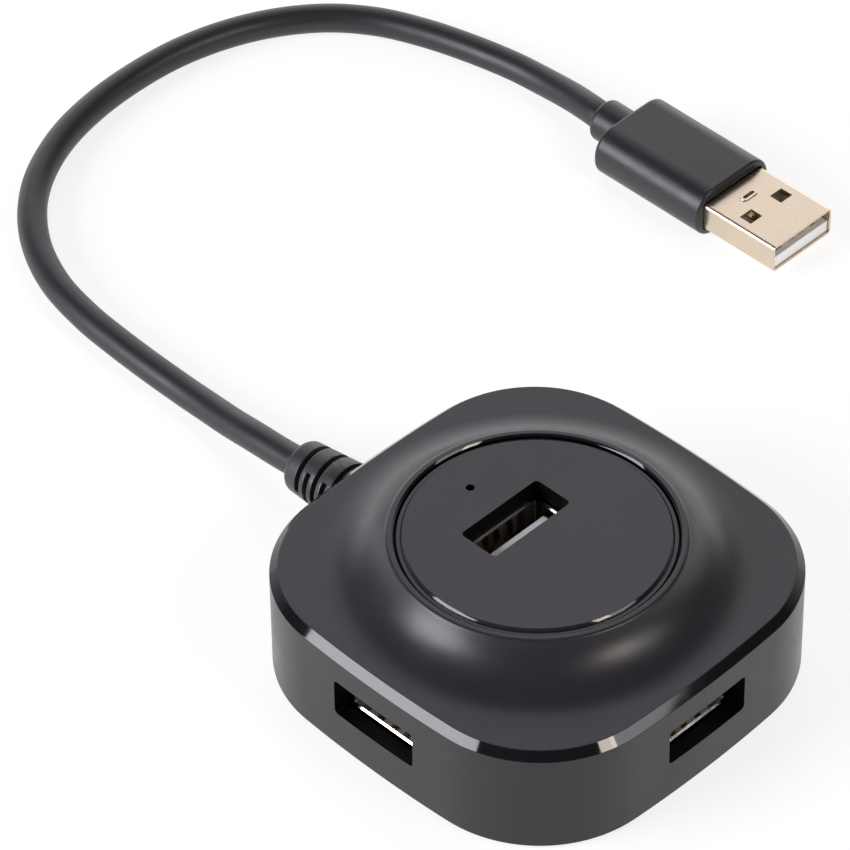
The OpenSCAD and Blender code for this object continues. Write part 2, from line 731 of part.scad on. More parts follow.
module plug_shell() {
    color("#e4d2bd") translate([plug_x, tip_y, plug_z]) difference() {
        union() {
            translate([0, plug_shell_len, 0]) rotate([90, 0, 0]) linear_extrude(plug_shell_len) difference() {
                round_rect(plug_w, plug_h, shell_out_r);
                round_rect(plug_w - 2 * shell_t, plug_h - 2 * shell_t, shell_in_r);
            }
            for (s = [0, 1]) mirror([0, 0, s]) translate([0, 10.2, plug_h / 2 - 0.1])
                linear_extrude(0.25) round_rect(3, 1.3, 0.6);
        }
        for (x = [-3.15, 3.15]) translate([x, 6.9, 0]) cube([2.4, 2.1, plug_h + 2], center = true);
        translate([0, 10.2, -plug_h]) linear_extrude(2 * plug_h) round_rect(2.1, 0.55, 0.2);
    }
}

module plug_tongue() {
    inner_w = plug_w - 2 * shell_t - 2 * fit;
    inner_h = plug_h - 2 * shell_t - 2 * fit;
    gap_w = contact_w + 2 * fit;
    color("#f0f0ee") translate([plug_x, tip_y, plug_z]) difference() {
        union() {
            translate([-inner_w / 2, 0.3, -inner_h / 2]) cube([inner_w, 12.3, plug_tongue_t]);
            translate([-inner_w / 2, 12.2, -inner_h / 2]) cube([inner_w, plug_shell_len - 12.4, inner_h]);
        }
        for (x = contact_x) translate([x - gap_w / 2, 1.2, -inner_h / 2 + plug_tongue_t - 0.2])
            cube([gap_w, 20, 0.35 + fit]);
    }
}

// Flat contacts of the plug; the two power contacts are the outer, longer ones.
module plug_contacts() {
    inner_h = plug_h - 2 * shell_t - 2 * fit;
    color("#d8b35a") for (x = contact_x)
        translate([plug_x + x - contact_w / 2, tip_y, plug_z - inner_h / 2 + plug_tongue_t - 0.2]) {
            front = abs(x) > 2 ? 1.3 : 2.3;
            translate([0, front, 0]) cube([contact_w, plug_shell_len - 0.2 - front, contact_t]);
        }
}

// ---------------------------------------------------------------- assembly

top_housing();
bottom_cover();
crown_disk();
light_pipe();
circuit_board();
left_port_shell();
front_port_shell();
right_port_shell();
top_port_shell();
left_port_tongue();
front_port_tongue();
right_port_tongue();
top_port_tongue();
left_port_contacts();
front_port_contacts();
right_port_contacts();
top_port_contacts();
hub_chip();
crystal();
status_led();
can_capacitors();
chip_capacitors();
chip_resistors();
cable_wires();
strain_relief();
cable();
plug_grip();
plug_shell();
plug_tongue();
plug_contacts();
rubber_feet();
case_screws();
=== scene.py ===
"""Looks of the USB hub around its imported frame: camera, cable, shells, finishes and studio light."""

import math

import bmesh
import bpy
from mathutils import Matrix, Vector


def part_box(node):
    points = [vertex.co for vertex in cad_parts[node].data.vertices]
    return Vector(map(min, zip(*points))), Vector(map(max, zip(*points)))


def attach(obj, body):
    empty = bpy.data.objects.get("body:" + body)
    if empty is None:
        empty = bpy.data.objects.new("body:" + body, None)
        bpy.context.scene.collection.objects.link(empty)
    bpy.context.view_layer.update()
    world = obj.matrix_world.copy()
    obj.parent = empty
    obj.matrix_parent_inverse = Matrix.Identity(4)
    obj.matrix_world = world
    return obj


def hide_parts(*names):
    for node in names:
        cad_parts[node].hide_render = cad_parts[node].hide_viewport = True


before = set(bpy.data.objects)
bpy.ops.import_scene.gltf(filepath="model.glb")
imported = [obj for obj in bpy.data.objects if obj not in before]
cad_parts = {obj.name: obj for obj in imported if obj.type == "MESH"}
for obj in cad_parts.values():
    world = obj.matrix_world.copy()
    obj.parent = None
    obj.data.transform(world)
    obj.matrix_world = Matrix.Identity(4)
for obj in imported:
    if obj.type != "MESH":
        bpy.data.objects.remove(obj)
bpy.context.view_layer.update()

MM = 0.001


def mm(*values):
    """A point given in millimetres, as a vector in metres."""
    return Vector(values) * MM


# ---------------------------------------------------------------- sizes, in millimetres

# Edges sharper than EDGE_ANGLE are rounded. Points of a CAD node closer than WELD_DISTANCE are merged,
# and its triangles that differ by less than FLAT_ANGLE become one face.
EDGE_ANGLE = math.radians(33)
WELD_DISTANCE = 0.0005
FLAT_ANGLE = math.radians(0.5)
MOULDED_EDGE = 0.12
DISK_FINE_EDGE = 0.1


def node_box(node):
    """Lowest and highest corner of a CAD node in millimetres."""
    low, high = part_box(node)
    return low / MM, high / MM


BODY_LOW, BODY_HIGH = node_box("top_housing")
DISK_LOW, DISK_HIGH = node_box("crown_disk")
GRIP_LOW, GRIP_HIGH = node_box("plug_grip")
PLUG_LOW, PLUG_HIGH = node_box("plug_shell")

HALF_W = BODY_HIGH.x
CROWN_Z = BODY_HIGH.z
BODY_Z = BODY_LOW.z
CROWN_RISE = 5.3
DECK_Z = CROWN_Z - CROWN_RISE
CORNER_R = 18
SIDE_BOW_R = 200
WALL_T = 2.2
DECK_T = 2
CHAMFER = 1.1
CHAMFER_ROUND = 0.12
FOOT_INNER_ROUND = 0.15
FOOT_OUTER_ROUND = 0.35

# Crown: the hollow flare that rises from the deck, its rim, and the glossy disk in its seat.
FLARE_R = 10
FLARE_ANGLE = math.radians(60)
FLARE_STEPS = 24
RIM_R = 19.6
RIM_ROUND = 0.6
RIM_STEPS = 6
DISK_R = DISK_HIGH.x
DISK_GAP = 0.25
DISK_MARGIN = 0.55
DISK_STEP = 0.5
DISK_EDGE = 0.28
SEAT_Z = DISK_LOW.z
SEAT_R = DISK_R + DISK_GAP
SEAT_EDGE = 0.25
FINE_ROUND = 0.05
WEB_T = 1.1
WEB_Z = SEAT_Z - WEB_T
HOLLOW_R = 17.5
HOLLOW_RISE = 4.4
HOLLOW_FOOT_R = 21.9

# Openings: three sockets in the sides, one in the crown, the light and the relief.
TOP_PORT_Y = 3.85
LIGHT_Y = 12
LIGHT_R = 0.6
SLOT_W = 14
SIDE_SLOT_H = 5.8
TOP_SLOT_H = 6.1
SIDE_SLOT_Z = 9.35
SLOT_CORNER_R = 0.6
CUT_MARGIN = 2
RELIEF_HOLE_R = 3.8
RELIEF_HOLE_REACH = 5
RELIEF_LEAD = 0.4
RELIEF_LEN = 13.5
RELIEF_Z = 6.4
RELIEF_DROOP = math.radians(4)
RELIEF_DIR = Vector((0, math.cos(RELIEF_DROOP), -math.sin(RELIEF_DROOP)))
RELIEF_END = Vector((0, HALF_W + RELIEF_LEAD, RELIEF_Z)) + RELIEF_LEN * RELIEF_DIR

# Outline of the body: four bowed sides joined by four tangent corner arcs.
BOW_OFFSET = SIDE_BOW_R - HALF_W
CORNER_C = (math.sqrt(2 * (SIDE_BOW_R - CORNER_R) ** 2 - BOW_OFFSET ** 2) - BOW_OFFSET) / 2
BOW_ANGLE = math.atan2(CORNER_C, CORNER_C + BOW_OFFSET)
SIDE_STEPS = 20
CORNER_STEPS = 26

CABLE_D = 4.3
COLLAR_R = 3.2
COLLAR_LEN = 5
COLLAR_ROUND = 0.75
GRIP_CORNER_R = 3.7
POCKET_CORNER_R = 0.6
POCKET_GAP = 0.05
GRIP_FRONT_ROUND = 0.45
GRIP_REAR_ROUND = 0.7
GRIP_END_Y = GRIP_HIGH.y - COLLAR_LEN
PLUG_X = (GRIP_LOW.x + GRIP_HIGH.x) / 2
PLUG_Z = (GRIP_LOW.z + GRIP_HIGH.z) / 2

# Route of the cable's middle, as in the CAD source.
CABLE_ROUTE = [
    tuple(RELIEF_END), tuple(RELIEF_END + 0.6 * RELIEF_DIR), (0, 46, 5.1), (0.1, 49, 4.7), (0.3, 53, 4.2),
    (0.7, 58, 3.3), (1.15, 63, 2.6), (1.4, 68, 2.2), (1.5, 75, 2.2), (1.8, 82, 2.2), (2.4, 89, 2.2),
    (4.05, 97, 2.2), (7.4, 104.6, 2.2), (12.3, 111.1, 2.2), (18.4, 116.1, 2.2), (26, 119.8, 2.2),
    (34, 121.8, 2.2), (42.5, 122.5, 2.2), (51, 122, 2.2), (59, 120, 2.2), (66, 116.7, 2.2),
    (72, 112, 2.2), (76.5, 106, 2.2), (79.5, 99, 2.2), (81.5, 92, 2.2), (82.9, 85, 2.2),
    (83.3, 79, 2.4), (83, 73, 3.1), (82.4, 69.2, 3.7), (82, 66.9, 4), (PLUG_X, GRIP_HIGH.y, PLUG_Z),
]


# ---------------------------------------------------------------- camera

def make_camera():
    """The camera looks down at the hub's front left corner. Its place and lens come from a perspective
    fit to the photograph."""
    back = Vector((-0.51457, -0.52056, 0.68135))
    right = Vector((0.70422, -0.70990, -0.01053))
    up = back.cross(right)
    aim = mm(20.72, 41.08, 0.5)
    distance = 0.753
    data = bpy.data.cameras.new("camera")
    data.lens = 234.3
    data.sensor_width = 36
    data.clip_start = 0.05
    data.clip_end = 20
    camera = add_object("camera", data)
    turn = Matrix((right, up, back)).transposed().to_4x4()
    camera.matrix_world = Matrix.Translation(aim + back * distance) @ turn
    bpy.context.scene.camera = camera


# ---------------------------------------------------------------- mesh helpers

def add_object(name, data):
    """Links a new object of the given mesh, curve, light or camera into the scene."""
    piece = bpy.data.objects.new(name, data)
    bpy.context.scene.collection.objects.link(piece)
    return piece


def mesh_object(name, bm):
    """Turns a bmesh into an object with smooth faces that point outward."""
    bmesh.ops.recalc_face_normals(bm, faces=bm.faces)
    for face in bm.faces:
        face.smooth = True
    mesh = bpy.data.meshes.new(name)
    bm.to_mesh(mesh)
    bm.free()
    return add_object(name, mesh)


def loft(name, rings, zones=None):
    """Skin over closed rings of points in millimetres, with a flat cap at each end.
    zones gives the material index of each band between two rings."""
    bm = bmesh.new()
    rows = [[bm.verts.new(mm(*p)) for p in ring] for ring in rings]
    count = len(rings[0])
    for k in range(len(rows) - 1):
        for i in range(count):
            j = (i + 1) % count
            face = bm.faces.new((rows[k][i], rows[k][j], rows[k + 1][j], rows[k + 1][i]))
            face.material_index = zones[k] if zones else 0
    for row, zone in ((rows[0], 0), (rows[-1], -1)):
        cap = bm.faces.new(row)
        cap.material_index = zones[zone] if zones else 0
    return mesh_object(name, bm)


def rounded(points, radii, steps=4):
    """A polyline in a plane with its inner corners rounded to the given radii."""
    path = [points[0]]
    for k in range(1, len(points) - 1):
        before, corner, after = Vector(points[k - 1]), Vector(points[k]), Vector(points[k + 1])
        to_before = (before - corner).normalized()
        to_after = (after - corner).normalized()
        radius = radii[k]
        if not radius:
            path.append(tuple(corner))
            continue
        half = to_before.angle(to_after) / 2
        reach = radius / math.tan(half)
        middle = corner + (to_before + to_after).normalized() * radius / math.sin(half)
        start = corner + to_before * reach - middle
        end = corner + to_after * reach - middle
        turn = start.angle_signed(end)
        for s in range(steps + 1):
            arm = start.copy()
            arm.rotate(Matrix.Rotation(-turn * s / steps, 2))
            path.append(tuple(middle + arm))
    path.append(points[-1])
    return path


def lathe(name, profile, middle, axis_turn=Matrix(), steps=160):
    """Skin over a profile of (radius, height) turned about the local Z axis.
    axis_turn then turns it and middle moves it."""
    rings = []
    for radius, height in profile:
        ring = []
        for s in range(steps):
            a = math.tau * s / steps
            point = axis_turn @ Vector((radius * math.cos(a), radius * math.sin(a), height))
            ring.append(tuple(point + Vector(middle)))
        rings.append(ring)
    return loft(name, rings)


def rounded_rectangle(width, height, radius, steps=6):
    """Points of a rectangle with round corners, about the origin."""
    points = []
    for quarter, (sx, sy) in enumerate(((1, 1), (-1, 1), (-1, -1), (1, -1))):
        cx, cy = sx * (width / 2 - radius), sy * (height / 2 - radius)
        for s in range(steps + 1):
            a = math.radians(90 * quarter + 90 * s / steps)
            points.append((cx + radius * math.cos(a), cy + radius * math.sin(a)))
    return points


def prism(name, outline, low, high, turn=Matrix(), middle=(0, 0, 0)):
    """Straight prism over a plane outline, from low to high along local Z."""
    rings = [[tuple(turn @ Vector((x, y, z)) + Vector(middle)) for x, y in outline] for z in (low, high)]
    return loft(name, rings)


def combine(piece, others, operation="DIFFERENCE"):
    """Cuts the others out of a piece, or joins them to it, and removes them.
    Where another has a material, the faces it leaves on the piece carry it."""
    for other in others:
        change = piece.modifiers.new(operation.lower(), "BOOLEAN")
        change.operation = operation
        change.solver = "EXACT"
        change.material_mode = "TRANSFER" if other.data.materials else "INDEX"
        change.object = other
    bpy.context.view_layer.update()
    seen = piece.evaluated_get(bpy.context.evaluated_depsgraph_get())
    mesh = bpy.data.meshes.new_from_object(seen)
    piece.modifiers.clear()
    piece.data = mesh
    for other in others:
        bpy.data.objects.remove(other)


def soften(piece, width):
    """Rounds the hard edges of a piece by a small bevel that keeps the flat faces flat."""
    bevel = piece.modifiers.new("edges", "BEVEL")
    bevel.width = width * MM
    bevel.segments = 2
    bevel.limit_method = "ANGLE"
    bevel.angle_limit = EDGE_ANGLE
    bevel.harden_normals = True
    bevel.use_clamp_overlap = True
    weighted = piece.modifiers.new("normals", "WEIGHTED_NORMAL")
    weighted.keep_sharp = True


def soften_cad(node, width):
    """The same on a CAD node, whose triangles are first joined into whole faces."""
    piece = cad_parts[node]
    piece.data.polygons.foreach_set("use_smooth", [True] * len(piece.data.polygons))
    weld = piece.modifiers.new("weld", "WELD")
    weld.merge_threshold = WELD_DISTANCE * MM
    faces = piece.modifiers.new("faces", "DECIMATE")
    faces.decimate_type = "DISSOLVE"
    faces.angle_limit = FLAT_ANGLE
    soften(piece, width)


# ---------------------------------------------------------------- housing

def body_outline(inset):
    """Points of the body's outline, moved inward by inset."""
    points = []
    for k in range(4):
        turn = Matrix.Rotation(math.radians(90 * k), 2)
        for s in range(SIDE_STEPS):
            a = BOW_ANGLE * (2 * s / SIDE_STEPS - 1)
            r = SIDE_BOW_R - inset
            points.append(turn @ Vector((r * math.cos(a) - BOW_OFFSET, r * math.sin(a))))
        for s in range(CORNER_STEPS):
            a = BOW_ANGLE + (math.pi / 2 - 2 * BOW_ANGLE) * s / CORNER_STEPS
            r = CORNER_R - inset
            points.append(turn @ Vector((CORNER_C + r * math.cos(a), CORNER_C + r * math.sin(a))))
    return points


OUTLINE_ANGLES = [math.atan2(p.y, p.x) for p in body_outline(0)]


def outline_ring(inset, z):
    """The outline, moved inward by inset, at height z."""
    return [(p.x, p.y, z) for p in body_outline(inset)]


def circle_ring(radius, z):
    """A circle with a point in the direction of each point of the outline."""
    return [(radius * math.cos(a), radius * math.sin(a), z) for a in OUTLINE_ANGLES]


def housing_rings():
    """Rings of the whole moulding, from under the crown, round the walls and up to the disk's seat,
    with the material zone of each band: 0 deck, 1 polished edge, 2 side wall, 3 hollow and seat, painted
    near black as shade."""
    deck, polish, wall, inside = range(4)
    under_z = DECK_Z - DECK_T
    near = 0.02

    # Up under the crown and down inside the walls.
    hollow = ((1, WEB_Z), (HOLLOW_R, WEB_Z), (HOLLOW_R, under_z + HOLLOW_RISE), (HOLLOW_FOOT_R, under_z))
    rings = [circle_ring(r, z) for r, z in hollow]
    inner_foot_z = BODY_Z + 0.3
    rings += [outline_ring(WALL_T, z) for z in (under_z, inner_foot_z)]
    zones = [inside] * (len(rings) - 1)

    # Round the lower edge, up the outside of the walls and over the chamfer.
    edge = [(WALL_T, inner_foot_z), (WALL_T, BODY_Z), (0, BODY_Z), (0, DECK_Z - CHAMFER),
            (CHAMFER, DECK_Z), (CHAMFER + 0.3, DECK_Z)]
    radii = [0, FOOT_INNER_ROUND, FOOT_OUTER_ROUND, CHAMFER_ROUND, CHAMFER_ROUND, 0]
    for inset, z in rounded(edge, radii)[1:]:
        rings.append(outline_ring(inset, z))
        if z < DECK_Z - CHAMFER - near:
            zones.append(wall)
        else:
            zones.append(polish if inset < CHAMFER - near else deck)

    # Up the flare, over the rim and down into the disk's seat.
    steep = FLARE_ANGLE
    for s in range(FLARE_STEPS + 1):
        a = steep * s / FLARE_STEPS
        r = RIM_R + FLARE_R * (math.sin(steep) - math.sin(a))
        rings.append(circle_ring(r, DECK_Z + FLARE_R * (1 - math.cos(a))))
        zones.append(deck)
    for s in range(RIM_STEPS + 1):
        a = steep * (1 - s / RIM_STEPS)
        r = RIM_R - RIM_ROUND * (math.sin(steep) - math.sin(a))
        rings.append(circle_ring(r, CROWN_Z - RIM_ROUND * (1 - math.cos(a))))
        zones.append(deck)
    crown = [(SEAT_R + 0.5, CROWN_Z), (SEAT_R + SEAT_EDGE, CROWN_Z), (SEAT_R, CROWN_Z - SEAT_EDGE),
             (SEAT_R, SEAT_Z), (0.8, SEAT_Z)]
    for r, z in rounded(crown, [0, FINE_ROUND, FINE_ROUND, FINE_ROUND, 0])[1:]:
        rings.append(circle_ring(r, z))
        on_edge = r < SEAT_R + SEAT_EDGE - near and z > CROWN_Z - 0.6
        zones.append(polish if on_edge else (deck if r > SEAT_R + near / 2 else inside))
    return rings, zones


def slot_cutter(angle):
    """Cuts the opening of a side socket."""
    turn = Matrix.Rotation(math.radians(angle), 3, "Z") @ Matrix.Rotation(math.radians(90), 3, "X")
    shape = rounded_rectangle(SLOT_W, SIDE_SLOT_H, SLOT_CORNER_R)
    inner, outer = HALF_W - WALL_T - CUT_MARGIN, HALF_W + CUT_MARGIN
    return prism(f"cut_{angle}", shape, inner, outer, turn, (0, 0, SIDE_SLOT_Z))


def crown_cutters():
    """Cut the openings of the upright socket and of the light through the disk and the web."""
    low, high = WEB_Z - CUT_MARGIN, CROWN_Z + CUT_MARGIN
    shape = rounded_rectangle(SLOT_W, TOP_SLOT_H, SLOT_CORNER_R)
    slot = prism("cut_top", shape, low, high, middle=(0, TOP_PORT_Y, 0))
    light = lathe("cut_light", [(LIGHT_R, low), (LIGHT_R, high)], (0, LIGHT_Y, 0), steps=48)
    return [slot, light]


def make_housing(materials):
    """The moulding with its openings; materials holds one finish for each zone of its rings."""
    rings, zones = housing_rings()
    housing = loft("housing_shell", rings, zones)
    for material in materials:
        housing.data.materials.append(material)
    relief_turn = Matrix.Rotation(math.radians(-90), 3, "X")
    relief_hole = [(RELIEF_HOLE_R, HALF_W + s * RELIEF_HOLE_REACH) for s in (-1, 1)]
    relief_cut = lathe("cut_relief", relief_hole, (0, 0, RELIEF_Z), relief_turn, 64)
    cutters = [*(slot_cutter(a) for a in (-90, 0, 90)), *crown_cutters(), relief_cut]
    # The faces the cutters leave take the last finish, painted near black as shade.
    inside = materials[-1]
    for cutter in cutters:
        cutter.data.materials.append(inside)
    combine(housing, cutters)
    soften(housing, MOULDED_EDGE)
    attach(housing, "root")
    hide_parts("top_housing")


def make_disk(material, inside):
    """The glossy inlay, with a bright bevel round its face and a lowered step outside it."""
    face_r, step_z, edge_z = DISK_R - DISK_MARGIN, CROWN_Z - DISK_STEP, CROWN_Z - DISK_EDGE
    profile = [(0.5, SEAT_Z), (DISK_R, SEAT_Z), (DISK_R, step_z), (face_r, step_z),
               (face_r, edge_z), (face_r - DISK_EDGE, CROWN_Z), (0.5, CROWN_Z)]
    radii = [0, 0, FINE_ROUND, FINE_ROUND, FINE_ROUND, FINE_ROUND, 0]
    disk = lathe("crown_inlay", rounded(profile, radii), (0, 0, 0), steps=240)
    disk.data.materials.append(material)
    # Faces cut through the disk take the second finish, painted near black as shade.
    disk.data.materials.append(inside)
    cutters = crown_cutters()
    for cutter in cutters:
        cutter.data.materials.append(inside)
    combine(disk, cutters)
    soften(disk, DISK_FINE_EDGE)
    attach(disk, "root")
    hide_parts("crown_disk")


# ---------------------------------------------------------------- cable and plug

def make_cable(material):
    """The cable is a smooth curve through the points of its route."""
    curve = bpy.data.curves.new("cable_jacket", "CURVE")
    curve.dimensions = "3D"
    curve.bevel_depth = CABLE_D / 2 * MM
    curve.bevel_resolution = 8
    curve.resolution_u = 8
    curve.use_fill_caps = True
    spline = curve.splines.new("BEZIER")
    spline.bezier_points.add(len(CABLE_ROUTE) - 1)
    points = [mm(*p) for p in CABLE_ROUTE]
    last = len(points) - 1
    for k, point in enumerate(points):
        lean = (points[min(k + 1, last)] - points[max(k - 1, 0)]) / 6
        knot = spline.bezier_points[k]
        knot.co = point
        knot.handle_left = point - lean
        knot.handle_right = point + lean
    curve.materials.append(material)
    cable = add_object("cable_jacket", curve)
    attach(cable, "root")
    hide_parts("cable")
    return cable


def make_grip(material):
    """The plug's grip: a rounded block with softened ends, and a round collar for the cable."""
    width, thick = GRIP_HIGH.x - GRIP_LOW.x, GRIP_HIGH.z - GRIP_LOW.z
    front, rear = GRIP_LOW.y, GRIP_END_Y
    corners = [(2, front), (0, front), (0, rear), (2, rear)]
    rings = []
    for inset, y in rounded(corners, [0, GRIP_FRONT_ROUND, GRIP_REAR_ROUND, 0], 6):
        shape = rounded_rectangle(width - 2 * inset, thick - 2 * inset, GRIP_CORNER_R - inset, 12)
        rings.append([(PLUG_X + x, y, PLUG_Z + z) for x, z in shape])
    grip = loft("grip_moulding", rings)
    grip.data.materials.append(material)
    turn = Matrix.Rotation(math.radians(-90), 3, "X")
    collar_end = GRIP_HIGH.y - rear
    corners = [(COLLAR_R, -1), (COLLAR_R, collar_end), (CABLE_D / 2 - 0.2, collar_end)]
    profile = rounded(corners, [0, COLLAR_ROUND, 0], 8)
    collar = lathe("collar", profile, (PLUG_X, rear, PLUG_Z), turn, 64)
    combine(grip, [collar], "UNION")

    # The pocket that holds the metal shell, a little wider than it all round.
    shell_w, shell_h = PLUG_HIGH.x - PLUG_LOW.x, PLUG_HIGH.z - PLUG_LOW.z
    pocket = rounded_rectangle(shell_w + 2 * POCKET_GAP, shell_h + 2 * POCKET_GAP, POCKET_CORNER_R)
    turn = Matrix.Rotation(math.radians(90), 3, "X")
    depth = PLUG_HIGH.y + POCKET_GAP
    cutter = prism("pocket", pocket, -depth, -front + CUT_MARGIN, turn, (PLUG_X, 0, PLUG_Z))
    combine(grip, [cutter])
    soften(grip, MOULDED_EDGE)
    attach(grip, "root")
    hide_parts("plug_grip")
    return grip


# ---------------------------------------------------------------- materials

class Shader:
    """A material's node tree, with short calls for the nodes that every finish here is made of."""

    def __init__(self, name):
        self.material = bpy.data.materials.new(name)
        self.material.use_nodes = True
        self.tree = self.material.node_tree
        self.surface = self.tree.nodes["Principled BSDF"]
        self.place = self.add("ShaderNodeTexCoord").outputs["Object"]

    def add(self, kind, inputs=None, **settings):
        node = self.tree.nodes.new(kind)
        for key, value in settings.items():
            setattr(node, key, value)
        for key, value in (inputs or {}).items():
            if isinstance(value, bpy.types.NodeSocket):
                self.tree.links.new(value, node.inputs[key])
            else:
                node.inputs[key].default_value = value
        return node

    def noise(self, size, detail=3.0, stretch=(1, 1, 1)):
        """Noise whose blobs are about size millimetres across, stretched along the axes."""
        scale = [1 / s for s in stretch]
        place = self.add("ShaderNodeMapping", {"Vector": self.place, "Scale": scale}).outputs[0]
        inputs = {"Vector": place, "Scale": 1 / (size * MM), "Detail": detail}
        return self.add("ShaderNodeTexNoise", inputs).outputs["Fac"]

    def spread(self, value, low, high, start=0.3, end=0.7):
        """Maps a value from start..end to low..high."""
        inputs = {"Value": value, "From Min": start, "From Max": end, "To Min": low, "To Max": high}
        return self.add("ShaderNodeMapRange", inputs).outputs[0]

    def mix(self, factor, first, second):
        node = self.add("ShaderNodeMix", {"Factor": factor}, data_type="RGBA")
        for key, value in ((6, first), (7, second)):
            if isinstance(value, bpy.types.NodeSocket):
                self.tree.links.new(value, node.inputs[key])
            else:
                node.inputs[key].default_value = (*value, 1)
        return node.outputs[2]

    def edges(self, radius):
        """1 along edges sharper than the radius in millimetres, 0 on open faces, broken up by noise."""
        round_normal = self.add("ShaderNodeBevel", {"Radius": radius * MM}, samples=4).outputs[0]
        normal = self.add("ShaderNodeNewGeometry").outputs["Normal"]
        inputs = {0: round_normal, 1: normal}
        same = self.add("ShaderNodeVectorMath", inputs, operation="DOT_PRODUCT").outputs["Value"]
        edge = self.spread(same, 1.0, 0.0, 0.8, 0.995)
        patches = self.spread(self.noise(1.2, 4), 0.2, 1.0, 0.4, 0.6)
        return self.add("ShaderNodeMath", {0: edge, 1: patches}, operation="MULTIPLY").outputs[0]

    def bump(self, height, depth):
        """Raises the surface by up to depth millimetres where height is 1."""
        return self.add("ShaderNodeBump", {"Height": height, "Distance": depth * MM}).outputs[0]

    def set(self, **values):
        """Sets or links the surface's own sockets; an underscore in a name stands for a space."""
        for key, value in values.items():
            socket = self.surface.inputs[key.replace("_", " ")]
            if isinstance(value, bpy.types.NodeSocket):
                self.tree.links.new(value, socket)
            else:
                socket.default_value = value


def plastic(name, colour, roughness, grain, depth, uneven=0.06, wear=0.0, level=0.5):
    """Moulded plastic: fine grain of the given size and depth in millimetres, a tone and a gloss that
    vary by uneven, edges that wear paler, and level, how strongly its surface reflects."""
    s = Shader(name)
    wide = s.noise(9, 4)
    fine = s.noise(grain, 2)
    dark = [c * 0.86 for c in colour]
    pale = [min(1, c * 1.14) for c in colour]
    tone = s.mix(s.spread(wide, 0, 1), dark, pale)
    base = s.mix(s.spread(fine, 0, 1, 0.35, 0.75), tone, [min(1, c * 1.35) for c in colour])
    gloss = s.spread(s.noise(3.5, 3), roughness - uneven, roughness + uneven)
    if wear:
        worn = s.add("ShaderNodeMath", {0: s.edges(0.12), 1: wear}, operation="MULTIPLY").outputs[0]
        base = s.mix(worn, base, [min(1, c * 2.2 + 0.02) for c in colour])
    s.set(Base_Color=base, Roughness=gloss, Normal=s.bump(fine, depth), Specular_IOR_Level=level)
    return s.material


def metal(name, colour, roughness, stretch=(1, 1, 1), scratch=0.12, depth=0.0006, wear=0.25):
    """Plated sheet: fine lines drawn out along the axes by stretch, scratch apart and depth deep in
    millimetres, faint stains, and edges that wear brighter."""
    s = Shader(name)
    lines = s.noise(scratch, 4, stretch)
    stains = s.noise(4, 5)
    tone = s.mix(s.spread(stains, 0, 1), [c * 0.95 for c in colour], colour)
    worn = s.add("ShaderNodeMath", {0: s.edges(0.08), 1: wear}, operation="MULTIPLY").outputs[0]
    base = s.mix(worn, tone, [min(1, c * 1.15 + 0.03) for c in colour])
    rubbed = s.spread(lines, -0.03, 0.03)
    stained = s.spread(stains, roughness - 0.02, roughness + 0.02)
    gloss = s.add("ShaderNodeMath", {0: rubbed, 1: stained}).outputs[0]
    s.set(Base_Color=base, Roughness=gloss, Metallic=1.0, Normal=s.bump(lines, depth))
    return s.material


def clear_plastic(name):
    """Cloudy acrylic of the light pipe."""
    s = Shader(name)
    haze = s.noise(0.4, 3)
    s.set(
        Base_Color=s.mix(s.spread(haze, 0, 1), (0.78, 0.84, 0.9), (0.9, 0.94, 0.98)),
        Roughness=s.spread(haze, 0.2, 0.4), Transmission_Weight=0.7, IOR=1.49, Normal=s.bump(haze, 0.002),
    )
    return s.material


def board_finish(name):
    """Green solder mask over raised tracks, uneven where the board's fibre lies under it."""
    s = Shader(name)
    inputs = {"Vector": s.place, "Scale": 1 / (3 * MM)}
    cells = s.add("ShaderNodeTexVoronoi", inputs, feature="DISTANCE_TO_EDGE", distance="MANHATTAN")
    track = s.spread(cells.outputs["Distance"], 1, 0, 0.05, 0.1)
    fibre = s.noise(0.35, 3)
    mask = s.mix(s.spread(fibre, 0, 1), (0.006, 0.035, 0.016), (0.01, 0.05, 0.024))
    s.set(
        Base_Color=s.mix(track, mask, (0.018, 0.09, 0.04)),
        Roughness=s.spread(fibre, 0.25, 0.42), Normal=s.bump(track, 0.03),
    )
    return s.material


